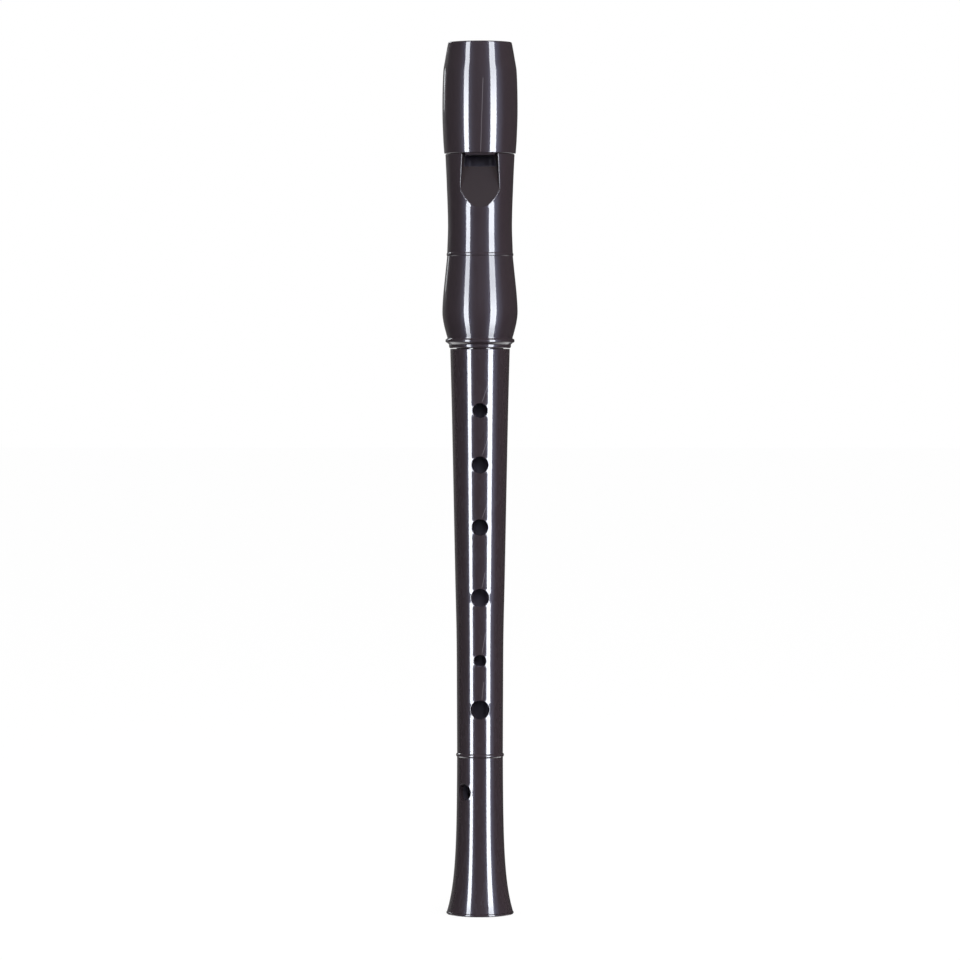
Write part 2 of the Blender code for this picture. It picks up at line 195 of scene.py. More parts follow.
shoulder_z = BODY_LENGTH + SHOULDER_LIFT
shoulder_centre = (BODY_TOP_RADIUS - SHOULDER_ROUND, shoulder_z - SHOULDER_ROUND)
body_skin = [(TENON_RADIUS - TENON_CHAMFER, tenon_top)]
body_skin += [(TENON_RADIUS, tenon_top - TENON_CHAMFER)]
body_skin += straight(body_skin[-1], (TENON_RADIUS, shoulder_z), BORE_SPACING)
body_skin += arc(shoulder_centre, SHOULDER_ROUND, 90, 0, 8)
waist_z = BODY_LENGTH - BODY_WAIST_DEPTH
ring_top = FOOT_RING_Z + FOOT_RING_HEIGHT / 2
taper_top = shoulder_centre[1]

# Stations between two named ones are set by their share of the way from one to the other
body_stations = [
    (BODY_TOP_RADIUS, taper_top),
    (between(BODY_WAIST_RADIUS, BODY_TOP_RADIUS, 0.73), between(waist_z, taper_top, 0.77)),
    (between(BODY_WAIST_RADIUS, BODY_TOP_RADIUS, 0.21), between(waist_z, taper_top, 0.21)),
    (BODY_WAIST_RADIUS, waist_z),
    (between(BODY_LOW_RADIUS, BODY_WAIST_RADIUS, 0.4), between(ring_top, waist_z, 0.5)),
    (BODY_LOW_RADIUS, ring_top),
]
body_skin += flowing(body_stations, BODY_SPACING)[1:]
body_skin += bead(BODY_LOW_RADIUS, FOOT_RING_Z, FOOT_RING_HEIGHT, FOOT_RING_PROUD)[1:-1]
flare_top = FOOT_RING_Z - FOOT_RING_HEIGHT / 2
flare_end = 2 * RIM_ROUND
flare_steps = round((flare_top - flare_end) / BODY_SPACING)
for step in range(flare_steps + 1):
    z = between(flare_top, flare_end, step / flare_steps)
    body_skin.append((FOOT_NECK_RADIUS + FOOT_FLARE * math.exp(-z / FOOT_FLARE_LENGTH), z))
body_skin += arc((rim_radius - RIM_ROUND, RIM_ROUND), RIM_ROUND, RIM_START, -90, 14)
body_bore = [(BORE_EXIT_RADIUS + BORE_EXIT_CHAMFER, 0.0)]
body_bore += [(BORE_EXIT_RADIUS, BORE_EXIT_CHAMFER)]
body_bore += straight(body_bore[-1], (BORE_NARROW_RADIUS, BORE_NARROW_Z), BORE_SPACING)
body_bore += straight(body_bore[-1], (BORE_TOP_RADIUS, tenon_top), BORE_SPACING)
body = turned("body_tube_fine", body_skin + body_bore, closed=True)


# Finger holes
# Seven in front and one for the thumb behind, moulded by pins that meet the core in the bore.
# Each opens through a clean wall, with the outer edge rounded where it was buffed.

FINGER_HOLES = (
    (17.1 * MM, 4.1 * MM, 0.0),
    (32.3 * MM, 4.6 * MM, 0.0),
    (49.8 * MM, 4.5 * MM, 0.0),
    (69.6 * MM, 5.0 * MM, 0.0),
    (87.3 * MM, 3.4 * MM, 0.0),
    (101.0 * MM, 5.2 * MM, 0.0),
    (124.4 * MM, 4.8 * MM, -45.7),
    (7.7 * MM, 4.5 * MM, 180.0),
)
HOLE_ROUND = 0.12 * MM
HOLE_COLLAR = 0.42 * MM
HOLE_RISE = 0.03 * MM
HOLE_ROUND_STEPS = 5
HOLE_MARGIN = 1.0 * MM
HOLE_BORE_MARGIN = 0.7 * MM
HOLE_REACH = 3.0 * MM
COLLAR_RINGS = (1.0, 0.67, 0.33, 0.0)
WALL_RINGS = (0.33, 0.67, 1.0)


def radius_at(outline, z):
    """Radius of an outline at a height, between its two nearest points."""
    for (r0, z0), (r1, z1) in zip(outline, outline[1:]):
        if min(z0, z1) <= z <= max(z0, z1) and z0 != z1:
            return between(r0, r1, (z - z0) / (z1 - z0))
    raise ValueError("no outline at this height")


def seen_along(hole, point):
    """Place of a point to the side, up and out, as seen from outside along a finger hole."""
    depth, diameter, turn = hole
    turn = math.radians(turn)
    side = point.x * math.cos(turn) + point.y * math.sin(turn)
    out = point.x * math.sin(turn) - point.y * math.cos(turn)
    return side, point.z - BODY_LENGTH + depth, out


def hole_near(point, margin):
    """The finger hole whose rim a point lies inside, with a margin, or None."""
    for hole in FINGER_HOLES:
        side, up, out = seen_along(hole, point)
        if out > 0 and math.hypot(side, up) < hole[1] / 2 + margin:
            return hole
    return None


def on_skin(side, z):
    return math.sqrt(radius_at(body_taper, z)**2 - side**2)


def on_bore(side, z):
    return math.sqrt(radius_at(body_bore, z)**2 - side**2)


def add_rings(wider, lift):
    """Extrudes the selected rims and sets each new point this much outside its hole's radius."""
    bpy.ops.mesh.extrude_edges_move()
    shape = bmesh.from_edit_mesh(body.data)
    for vertex in shape.verts:
        if not vertex.select:
            continue
        hole = hole_near(vertex.co, HOLE_REACH)
        side, up, out = seen_along(hole, vertex.co)
        angle = math.atan2(up, side)
        side = (hole[1] / 2 + wider) * math.cos(angle)
        z = BODY_LENGTH - hole[0] + (hole[1] / 2 + wider) * math.sin(angle)
        out = lift(side, z)
        turn = math.radians(hole[2])
        x = side * math.cos(turn) + out * math.sin(turn)
        y = side * math.sin(turn) - out * math.cos(turn)
        vertex.co = (x, y, z)
    bmesh.update_edit_mesh(body.data)


body_taper = [point for point in body_skin if point[1] <= taper_top]
wall_middle = (BORE_TOP_RADIUS + BODY_LOW_RADIUS) / 2
edit(body)
bpy.ops.mesh.select_mode(type="FACE")
shape = bmesh.from_edit_mesh(body.data)
for face in shape.faces:
    centre = face.calc_center_median()
    outside = math.hypot(centre.x, centre.y) > wall_middle
    if hole_near(centre, HOLE_MARGIN if outside else HOLE_BORE_MARGIN):
        face.select_set(True)
bmesh.update_edit_mesh(body.data)
bpy.ops.mesh.delete(type="FACE")
bpy.ops.mesh.select_mode(type="EDGE")
shape = bmesh.from_edit_mesh(body.data)
for edge in shape.edges:
    start = edge.verts[0].co
    if edge.is_boundary and math.hypot(start.x, start.y) > wall_middle:
        edge.select_set(True)
bmesh.update_edit_mesh(body.data)
for share in COLLAR_RINGS:
    rise = HOLE_RISE * (1 - share)**2
    add_rings(HOLE_ROUND + HOLE_COLLAR * share, lambda side, z: on_skin(side, z) + rise)
for step in range(1, HOLE_ROUND_STEPS + 1):
    angle = math.pi / 2 * step / HOLE_ROUND_STEPS
    rise = HOLE_RISE - HOLE_ROUND * (1 - math.cos(angle))
    add_rings(HOLE_ROUND * (1 - math.sin(angle)), lambda side, z: on_skin(side, z) + rise)
for share in WALL_RINGS:
    add_rings(0.0, lambda side, z: between(on_skin(side, z) + rise, on_bore(side, z), share))
for hole in FINGER_HOLES:
    bpy.ops.mesh.select_all(action="DESELECT")
    shape = bmesh.from_edit_mesh(body.data)
    for edge in shape.edges:
        if edge.is_boundary and hole_near(edge.verts[0].co, HOLE_REACH) is hole:
            edge.select_set(True)
    bmesh.update_edit_mesh(body.data)
    bpy.ops.mesh.bridge_edge_loops()
bpy.ops.mesh.select_all(action="SELECT")
bpy.ops.mesh.normals_make_consistent(inside=False)
leave_edit()
smooth(body)


# Polished plastic
# Dark brown ABS with a polish that mirrors the lamps sharply, over fine moulding marks. The
# brown varies a little where the melt flowed.

BROWN = (0.052, 0.038, 0.045, 1.0)
BROWN_DEEP = (0.043, 0.032, 0.038, 1.0)
KNIT_BROWN = (0.2, 0.18, 0.2, 1.0)
# Bore colours: painted light, paler than the plastic, and painted shade lower down.
BORE_PAINTED_LIGHT = (0.16, 0.145, 0.2, 1.0)
BORE_PAINTED_SHADE = (0.06, 0.055, 0.075, 1.0)
BORE_PAINTED_SHADE_FADE = (50.0 * MM, 70.0 * MM)
HAZE = 0.186
HAZE_TINT = (0.63, 0.71, 1.0, 1.0)
BORE_PAINT_EDGE = 0.1 * MM
BODY_DULLNESS = (0.22, 0.32)
COAT_ROUGHNESS = 0.06
COAT_IOR = 1.54
GRAIN_STRETCH = (1.0, 1.0, 0.25)
FLOW_SCALE = 180.0
WIPE_SCALE = 700.0
WAVE_SCALE = 260.0
WAVE_STRENGTH = 0.2
WAVE_HEIGHT = 0.002 * MM
KNIT_HALF_WIDTH = 0.14 * MM
KNIT_FADE = 0.8 * MM
KNIT_START = 0.5 * MM
KNIT_RUNS = (
    (2.6 * MM, 7.7 * MM),
    (2.6 * MM, 7.7 * MM),
    (1.2 * MM, 3.6 * MM),
    (1.0 * MM, 5.0 * MM),
    (1.1 * MM, 6.5 * MM),
    (0.6 * MM, 5.6 * MM),
)


def add_node(nodes, kind, place, **values):
    node = nodes.new(kind)
    node.location = place
    for key, value in values.items():
        setattr(node, key, value)
    return node


def ramped(nodes, links, place, value, source, target, kind="SMOOTHSTEP"):
    """Map Range node from one range of a value to another."""
    node = add_node(nodes, "ShaderNodeMapRange", place, interpolation_type=kind)
    node.inputs["From Min"].default_value = source[0]
    node.inputs["From Max"].default_value = source[1]
    node.inputs["To Min"].default_value = target[0]
    node.inputs["To Max"].default_value = target[1]
    links.new(value, node.inputs["Value"])
    return node.outputs["Result"]


def worked(nodes, links, place, operation, first, second=0.0):
    """Math node on one value and a second value or number."""
    node = add_node(nodes, "ShaderNodeMath", place, operation=operation)
    links.new(first, node.inputs[0])
    if isinstance(second, float):
        node.inputs[1].default_value = second
    else:
        links.new(second, node.inputs[1])
    return node.outputs[0]


def grain(nodes, links, place, stretch, scale, detail):
    """Noise in the plastic, by way of the node that stretches it along the bore."""
    node = add_node(nodes, "ShaderNodeTexNoise", place)
    node.inputs["Scale"].default_value = scale
    node.inputs["Detail"].default_value = detail
    links.new(stretch.outputs["Vector"], node.inputs["Vector"])
    return node.outputs["Fac"]


def knit_mask(nodes, links, apart, lines):
    """1 on the thin lines in the front where two flows of melt met, 0 elsewhere."""
    mask = None
    for index, ((x0, z0), (x1, z1)) in enumerate(lines):
        level = 700 + 220 * index
        middle = (z0 + z1) / 2
        reach = (z1 - z0) / 2
        line = ramped(nodes, links, (-900, level), apart.outputs["Z"], (z0, z1), (x0, x1), "LINEAR")
        off = worked(nodes, links, (-700, level), "SUBTRACT", apart.outputs["X"], line)
        off = worked(nodes, links, (-550, level), "ABSOLUTE", off)
        near = ramped(nodes, links, (-400, level), off, (0.0, KNIT_HALF_WIDTH), (1.0, 0.0))
        high = worked(nodes, links, (-700, level + 110), "SUBTRACT", apart.outputs["Z"], middle)
        high = worked(nodes, links, (-550, level + 110), "ABSOLUTE", high)
        ends = (reach - KNIT_FADE, reach)
        ended = ramped(nodes, links, (-400, level + 110), high, ends, (1.0, 0.0))
        part = worked(nodes, links, (-200, level), "MULTIPLY", near, ended)
        mask = part if mask is None else worked(nodes, links, (-50, level), "MAXIMUM", mask, part)
    front = ramped(nodes, links, (-400, 500), apart.outputs["Y"], (-MM, 0.0), (1.0, 0.0))
    return worked(nodes, links, (-50, 500), "MULTIPLY", mask, front)


def polished_brown(name, dullness, haze=HAZE, coat=1.0, lines=(), bore_radius=None):
    """ABS polished on a wheel: a sharp coat over a soft haze, with knit lines where melt met.

    Within the bore's radius the brown is painted paler as painted light, and darker low down as
    painted shade.
    """
    material = bpy.data.materials.new(name)
    material.use_nodes = True
    nodes = material.node_tree.nodes
    links = material.node_tree.links
    shader = nodes["Principled BSDF"]
    shader.inputs["Specular IOR Level"].default_value = haze
    shader.inputs["Specular Tint"].default_value = HAZE_TINT
    shader.inputs["Coat Weight"].default_value = coat
    shader.inputs["Coat Roughness"].default_value = COAT_ROUGHNESS
    shader.inputs["Coat IOR"].default_value = COAT_IOR
    place = add_node(nodes, "ShaderNodeTexCoord", (-1300, 0))
    stretch = add_node(nodes, "ShaderNodeMapping", (-1100, 0))
    stretch.inputs["Scale"].default_value = GRAIN_STRETCH
    links.new(place.outputs["Object"], stretch.inputs["Vector"])
    apart = add_node(nodes, "ShaderNodeSeparateXYZ", (-1100, 400))
    links.new(place.outputs["Object"], apart.inputs[0])

    flow = grain(nodes, links, (-900, 200), stretch, FLOW_SCALE, 4.0)
    tone = add_node(nodes, "ShaderNodeMix", (-500, 200), data_type="RGBA")
    tone.inputs["A"].default_value = BROWN_DEEP
    tone.inputs["B"].default_value = BROWN
    links.new(flow, tone.inputs["Factor"])
    colour = tone.outputs["Result"]
    if lines:
        knit = add_node(nodes, "ShaderNodeMix", (-250, 200), data_type="RGBA")
        knit.inputs["B"].default_value = KNIT_BROWN
        links.new(colour, knit.inputs["A"])
        links.new(knit_mask(nodes, links, apart, lines), knit.inputs["Factor"])
        colour = knit.outputs["Result"]
    # Painted light and shade: the bore is painted paler, and darker towards its lower end.
    if bore_radius:
        flat = add_node(nodes, "ShaderNodeCombineXYZ", (-900, 400))
        links.new(apart.outputs["X"], flat.inputs["X"])
        links.new(apart.outputs["Y"], flat.inputs["Y"])
        from_axis = add_node(nodes, "ShaderNodeVectorMath", (-700, 400), operation="LENGTH")
        links.new(flat.outputs[0], from_axis.inputs[0])
        edge = (bore_radius, bore_radius + BORE_PAINT_EDGE)
        within = ramped(nodes, links, (-500, 400), from_axis.outputs["Value"], edge, (1.0, 0.0))
        up = ramped(nodes, links, (-500, 550), apart.outputs["Z"], BORE_PAINTED_SHADE_FADE, (0.0, 1.0))
        inside = add_node(nodes, "ShaderNodeMix", (-350, 550), data_type="RGBA")
        inside.inputs["A"].default_value = BORE_PAINTED_SHADE
        inside.inputs["B"].default_value = BORE_PAINTED_LIGHT
        links.new(up, inside.inputs["Factor"])
        bore = add_node(nodes, "ShaderNodeMix", (-150, 300), data_type="RGBA")
        links.new(inside.outputs["Result"], bore.inputs["B"])
        links.new(colour, bore.inputs["A"])
        links.new(within, bore.inputs["Factor"])
        colour = bore.outputs["Result"]
    links.new(colour, shader.inputs["Base Color"])

    wipe = grain(nodes, links, (-900, -50), stretch, WIPE_SCALE, 6.0)
    dull = ramped(nodes, links, (-500, -50), wipe, (0.0, 1.0), dullness, "LINEAR")
    links.new(dull, shader.inputs["Roughness"])

    wave = grain(nodes, links, (-900, -300), stretch, WAVE_SCALE, 2.0)
    bump = add_node(nodes, "ShaderNodeBump", (-500, -300))
    bump.inputs["Strength"].default_value = WAVE_STRENGTH
    bump.inputs["Distance"].default_value = WAVE_HEIGHT
    links.new(wave, bump.inputs["Height"])
    links.new(bump.outputs["Normal"], shader.inputs["Normal"])
    links.new(bump.outputs["Normal"], shader.inputs["Coat Normal"])
    return material


def dress(obj, finish):
    """Gives an object its finish, in place of the empty slots that its cuts may leave."""
    obj.data.materials.clear()
    obj.data.materials.append(finish)


body_lines = []
for (depth, diameter, turn), (lean, rise) in zip(FINGER_HOLES, KNIT_RUNS):
    hole_top = BODY_LENGTH - depth + diameter / 2
    body_lines.append(((KNIT_START, hole_top), (KNIT_START + lean, hole_top + rise)))
body_finish = polished_brown(
    "body_polished_brown", BODY_DULLNESS, lines=body_lines, bore_radius=BORE_TOP_RADIUS
)
dress(body, body_finish)
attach(body, "body")
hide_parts("body_tube")


# Head tube
# Lower part of the head joint, in the same polished brown: the barrel that the hand holds, a
# bead and lip over the body's shoulder, a fine ring, and a waist that widens to the window.

HEAD_LENGTH = 54.25 * MM
HEAD_END_RADIUS = 8.3 * MM
HEAD_LIP_RADIUS = 8.72 * MM
HEAD_LIP_CREST_Z = 0.65 * MM
LIP_CROWN = 0.04 * MM
LIP_CROWN_HEIGHT = 0.42 * MM
HEAD_BEAD_LOW_Z = 1.92 * MM
HEAD_BEAD_HIGH_Z = 2.23 * MM
HEAD_BEAD_RISE = 0.47 * MM
HEAD_BEAD_FALL = 0.38 * MM
HEAD_BEAD_PROUD = 0.53 * MM
NECK_RADIUS = 9.18 * MM
NECK_Z = 3.0 * MM
NECK_SLOPE = 16.0
NECK_HOLLOW = 0.25 * MM
HOLLOW_END = 235.0
BEAD_START = 80.0
BEAD_END = -75.0
LIP_START = 75.0
LIP_END = -80.0
BARREL_Z = 10.0 * MM
BARREL_RADIUS = 10.59 * MM
HEAD_RING_Z = 26.3 * MM
HEAD_RING_RADIUS = 9.24 * MM
HEAD_RING_HEIGHT = 0.95 * MM
HEAD_RING_PROUD = 0.17 * MM
HEAD_WAIST_RADIUS = 9.01 * MM
HEAD_TOP_RADIUS = 9.72 * MM
HEAD_TOP_ROUND = 0.3 * MM
HEAD_TOP_LIFT = 0.2 * MM
HEAD_BORE_RADIUS = 5.0 * MM
SOCKET_RADIUS = 6.7 * MM
SOCKET_LENGTH = 17.0 * MM
SPIGOT_RADIUS = 8.2 * MM
SPIGOT_BORE_STEP = 0.03 * MM
HEAD_SPACING = 0.35 * MM
FINE_ROWS_Z = (196.5 * MM, 204.5 * MM)
FINE_ROWS = 3
HEAD_DULLNESS = (0.26, 0.34)
HEAD_COAT = 0.84

head_low, head_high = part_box("head_tube")
head_base = head_low[2]
head_top = head_base + HEAD_LENGTH + HEAD_TOP_LIFT
spigot_top = head_high[2]


def oval(centre, half_width, half_height, start, end, steps):
    """Stretch of an oval, with its angles like those of an arc."""
    return [
        (centre[0] + half_width * across, centre[1] + half_height * up)
        for across, up in arc((0.0, 0.0), 1.0, start, end, steps)
    ]


head_ring_top = head_base + HEAD_RING_Z + HEAD_RING_HEIGHT / 2
head_ring_bottom = head_base + HEAD_RING_Z - HEAD_RING_HEIGHT / 2
head_edge = (HEAD_TOP_RADIUS - HEAD_TOP_ROUND, head_top - HEAD_TOP_ROUND)
head_skin = arc(head_edge, HEAD_TOP_ROUND, 90, 0, 8)[:-1]
head_stations = [
    (HEAD_TOP_RADIUS, head_edge[1]),
    (
        between(HEAD_WAIST_RADIUS, HEAD_TOP_RADIUS, 0.48),
        between(head_ring_top, head_base + HEAD_LENGTH, 0.7),
    ),
    (HEAD_WAIST_RADIUS, between(head_ring_top, head_base + HEAD_LENGTH, 0.29)),
    (HEAD_RING_RADIUS, head_ring_top),
]
coarse_rows = flowing(head_stations, HEAD_SPACING)
head_skin += coarse_rows[:1]
for before, after in zip(coarse_rows, coarse_rows[1:]):
    rows = FINE_ROWS if FINE_ROWS_Z[0] < after[1] < FINE_ROWS_Z[1] else 1
    head_skin += straight(before, after, math.dist(before, after) / rows)
head_ring_middle = head_base + HEAD_RING_Z
head_skin += bead(HEAD_RING_RADIUS, head_ring_middle, HEAD_RING_HEIGHT, HEAD_RING_PROUD)[1:-1]
barrel_z = head_base + BARREL_Z
neck_z = head_base + NECK_Z
barrel_stations = [
    (HEAD_RING_RADIUS, head_ring_bottom),
    (
        between(HEAD_RING_RADIUS, BARREL_RADIUS, 0.4),
        between(barrel_z, head_ring_bottom, 0.67),
    ),
    (
        between(HEAD_RING_RADIUS, BARREL_RADIUS, 0.81),
        between(barrel_z, head_ring_bottom, 0.32),
    ),
    (BARREL_RADIUS, barrel_z),
    (between(NECK_RADIUS, BARREL_RADIUS, 0.77), between(neck_z, barrel_z, 0.6)),
    (between(NECK_RADIUS, BARREL_RADIUS, 0.28), between(neck_z, barrel_z, 0.19)),
    (NECK_RADIUS, neck_z),
]
head_skin += flowing(barrel_stations, HEAD_SPACING)
neck_slope = math.radians(NECK_SLOPE)
hollow_centre = (
    NECK_RADIUS + NECK_HOLLOW * math.cos(neck_slope),
    neck_z - NECK_HOLLOW * math.sin(neck_slope),
)
head_skin += arc(hollow_centre, NECK_HOLLOW, 180 - NECK_SLOPE, HOLLOW_END, 6)[1:]
bead_high = (NECK_RADIUS, head_base + HEAD_BEAD_HIGH_Z)
bead_low = (NECK_RADIUS, head_base + HEAD_BEAD_LOW_Z)
head_skin += oval(bead_high, HEAD_BEAD_PROUD, HEAD_BEAD_RISE, BEAD_START, 0, 8)
head_skin += oval(bead_low, HEAD_BEAD_PROUD, HEAD_BEAD_FALL, 0, BEAD_END, 8)
lip_crest_z = head_base + HEAD_LIP_CREST_Z
lip_crown = (HEAD_LIP_RADIUS - LIP_CROWN, lip_crest_z)
head_skin += oval(lip_crown, LIP_CROWN, LIP_CROWN_HEIGHT, LIP_START, 0, 5)
lip_foot = HEAD_LIP_RADIUS - HEAD_END_RADIUS
head_skin += oval((HEAD_END_RADIUS, lip_crest_z), lip_foot, HEAD_LIP_CREST_Z, 0, LIP_END, 8)[1:]
socket_top = head_base + SOCKET_LENGTH
head_bore = [(SOCKET_RADIUS, head_base)]
head_bore += straight(head_bore[-1], (SOCKET_RADIUS, socket_top), BORE_SPACING)
head_bore += [(HEAD_BORE_RADIUS, socket_top)]
head_bore += straight(head_bore[-1], (HEAD_BORE_RADIUS, head_top), BORE_SPACING)
head = turned("head_tube_fine", head_skin + head_bore, closed=True)
spigot_bore = HEAD_BORE_RADIUS + SPIGOT_BORE_STEP
spigot_low = head_top - MM
spigot_outline = [
    (spigot_bore, spigot_top),
    (SPIGOT_RADIUS, spigot_top),
    (SPIGOT_RADIUS, spigot_low),
    (spigot_bore, spigot_low),
]
spigot = turned("spigot", spigot_outline, closed=True)


# Window and ramp
# The ramp runs up the front of the head to the thin lip that the air is blown against, between
# side walls that open outwards. It is left matt from the mould.

LIP_Z = 210.1 * MM
LIP_FROM_AXIS = 5.35 * MM
LIP_THICKNESS = 0.4 * MM
LIP_RELIEF_LENGTH = 9.0 * MM
WINDOW_HALF = 4.4 * MM
RAMP_SLOPE = math.tan(math.radians(18.1))
WALL_DRAFT = math.tan(math.radians(10.5))
WALL_FLARE = math.tan(math.radians(4.0))
RAMP_FLOOR_LEAST = 5.2 * MM
RAMP_EDGE_BLEND = 0.04 * MM
RAMP_RIM_LIFT = 0.07 * MM
RAMP_RIM_WIDTH = 0.3 * MM
RAMP_RIM_FADE = 0.25 * MM
MATT_EDGE = 0.02 * MM
MATT_ROUGHNESS = 0.55
MATT_BROWN = (0.033, 0.022, 0.019, 1.0)
WALL_EDGE_ROUND = 0.2 * MM
FLOOR_EDGE_ROUND = 0.04 * MM
WALL_FULL = 0.5 * MM
FLOOR_COLUMNS = 20
WALL_COLUMNS = 8
SECTOR_COLUMNS = 42
SPREAD_START_Z = 189.0 * MM
SPREAD_END_Z = 196.8 * MM
EDGE_GUESS = 0.6
EDGE_TRIES = 12
LOW_WALL_LEAST = 0.3
LOW_WALL_COLUMNS = 2
RIM_LIFT_LIMIT = math.pi / 3
WINDOW_STEP = 0.03 * MM
WINDOW_OVERCUT = 0.05 * MM
WINDOW_FRONT = -1.5 * BARREL_RADIUS
WINDOW_BACK = -2.0 * MM
SLOT_DEPTH = 0.17 * MM
HEAD_SHARP_ANGLE = 14.0
column_angle = 2 * math.pi / TURN_STEPS


def soft_least(a, b, blend):
    """Lesser of two distances, with the corner between them rounded."""
    overlap = max(blend - abs(a - b), 0.0) / blend
    return min(a, b) - overlap * overlap * blend / 4


def eased(share):
    share = min(max(share, 0.0), 1.0)
    return share * share * (3 - 2 * share)


def ramp_out(z):
    return max(LIP_FROM_AXIS + RAMP_SLOPE * (LIP_Z - z), RAMP_FLOOR_LEAST)


def wall_half(out, z):
    flare = WALL_FLARE * (head_base + HEAD_LENGTH - min(z, head_top))
    return WINDOW_HALF + WALL_DRAFT * (out - LIP_FROM_AXIS) + flare


def lifted(across, radius, z, wall):
    """How far out the skin lies, which shrinkage raises just outside the ramp's lower edge."""
    skin = math.sqrt(radius**2 - across**2)
    above = ramp_out(min(z, head_top)) - skin
    away = max(above / math.hypot(RAMP_SLOPE, across / skin), 0.0)
    fade = 1 - eased(wall / RAMP_RIM_FADE)
    return skin + fade * RAMP_RIM_LIFT * math.exp(-away / RAMP_RIM_WIDTH)


def ramp_section(column, radius, z):
    """Place across and out of one column of the front of the head, at one height."""
    edge = EDGE_GUESS * radius
    for _ in range(EDGE_TRIES):
        edge = wall_half(math.sqrt(radius**2 - edge**2), z)
    wall = math.sqrt(radius**2 - edge**2) - ramp_out(min(z, head_top))
    edge_out = lifted(edge, radius, z, wall)
    floor = ramp_out(min(z, head_top))
    edge_round = between(FLOOR_EDGE_ROUND, WALL_EDGE_ROUND, eased(wall / WALL_FULL))
    foot = min(wall_half(min(floor, edge_out), z), edge - edge_round / 2)
    foot_out = soft_least(floor, lifted(foot, radius, z, wall), RAMP_EDGE_BLEND)
    if column <= FLOOR_COLUMNS:
        across = foot * column / FLOOR_COLUMNS
        return across, soft_least(floor, lifted(across, radius, z, wall), RAMP_EDGE_BLEND)
    rim = edge + edge_round
    rim_out = lifted(rim, radius, z, wall)
    last_wall = FLOOR_COLUMNS + WALL_COLUMNS
    if column <= last_wall:
        height = edge_out - foot_out
        start = max(1 - edge_round / max(height, edge_round), LOW_WALL_LEAST)
        low = (between(foot, edge, start), between(foot_out, edge_out, start))
        if column <= FLOOR_COLUMNS + LOW_WALL_COLUMNS:
            share = (column - FLOOR_COLUMNS) / LOW_WALL_COLUMNS
            return between(foot, low[0], share), between(foot_out, low[1], share)
        share = (column - FLOOR_COLUMNS - LOW_WALL_COLUMNS) / (WALL_COLUMNS - LOW_WALL_COLUMNS)
        first = (between(low[0], edge, share), between(low[1], edge_out, share))
        second = (between(edge, rim, share), between(edge_out, rim_out, share))
        return between(first[0], second[0], share), between(first[1], second[1], share)
    rim_angle = math.asin(rim / radius)
    share = (column - last_wall) / (SECTOR_COLUMNS - last_wall)
    angle = between(rim_angle, SECTOR_COLUMNS * column_angle, share)
    across = radius * math.sin(angle)
    out = radius * math.cos(angle)
    if angle > RIM_LIFT_LIMIT:
        return across, out
    return across, lifted(across, radius, z, wall)


def leave_ramp_matt(finish):
    """Takes the coat off the ramp and the window's walls, which the polishing wheel can't reach."""
    nodes = finish.node_tree.nodes
    links = finish.node_tree.links
    shader = nodes["Principled BSDF"]
    apart = nodes["Separate XYZ"]
    wide = worked(nodes, links, (-900, 900), "ABSOLUTE", apart.outputs["X"])
    out = worked(nodes, links, (-900, 800), "MULTIPLY", apart.outputs["Y"], -1.0)
    sloped = worked(nodes, links, (-900, 700), "MULTIPLY", apart.outputs["Z"], RAMP_SLOPE)
    over = worked(nodes, links, (-700, 750), "ADD", out, sloped)
    over = worked(nodes, links, (-550, 750), "SUBTRACT", over, ramp_out(0.0))
    drafted = worked(nodes, links, (-700, 900), "MULTIPLY", out, WALL_DRAFT)
    flared = worked(nodes, links, (-700, 1000), "MULTIPLY", apart.outputs["Z"], -WALL_FLARE)
    half = worked(nodes, links, (-550, 950), "ADD", drafted, flared)
    half = worked(nodes, links, (-400, 950), "ADD", half, wall_half(0.0, 0.0))
    within = worked(nodes, links, (-250, 900), "SUBTRACT", half, wide)
    least = worked(nodes, links, (-100, 850), "MINIMUM", over, within)
    matt = ramped(nodes, links, (50, 850), least, (-MATT_EDGE, 0.0), (0.0, 1.0))
    coat = ramped(nodes, links, (200, 900), matt, (0.0, 1.0), (HEAD_COAT, 0.0), "LINEAR")
    links.new(coat, shader.inputs["Coat Weight"])
    rough = add_node(nodes, "ShaderNodeMix", (200, 700))
    rough.inputs["B"].default_value = MATT_ROUGHNESS
    links.new(matt, rough.inputs["Factor"])
    links.new(shader.inputs["Roughness"].links[0].from_socket, rough.inputs["A"])
    links.new(rough.outputs["Result"], shader.inputs["Roughness"])
    tone = add_node(nodes, "ShaderNodeMix", (200, 500), data_type="RGBA")
    tone.inputs["B"].default_value = MATT_BROWN
    links.new(matt, tone.inputs["Factor"])
    links.new(shader.inputs["Base Color"].links[0].from_socket, tone.inputs["A"])
    links.new(tone.outputs["Result"], shader.inputs["Base Color"])


shape = bmesh.new()
shape.from_mesh(head.data)
for vertex in shape.verts:
    place = vertex.co
    radius = math.hypot(place.x, place.y)
    if place.z < SPREAD_START_Z or radius < SPIGOT_RADIUS - MM:
        continue
    turn = math.atan2(place.x, -place.y)
    column = round(abs(turn) / column_angle)
    if column > SECTOR_COLUMNS:
        continue
    across, out = ramp_section(column, radius, place.z)
    spread = eased((place.z - SPREAD_START_Z) / (SPREAD_END_Z - SPREAD_START_Z))
    if spread < 1:
        angle = between(abs(turn), math.asin(across / radius), spread)
        across = radius * math.sin(angle)
        out = radius * math.cos(angle)
    place.x = math.copysign(across, turn) if column else 0.0
    place.y = -out
shape.to_mesh(head.data)
shape.free()


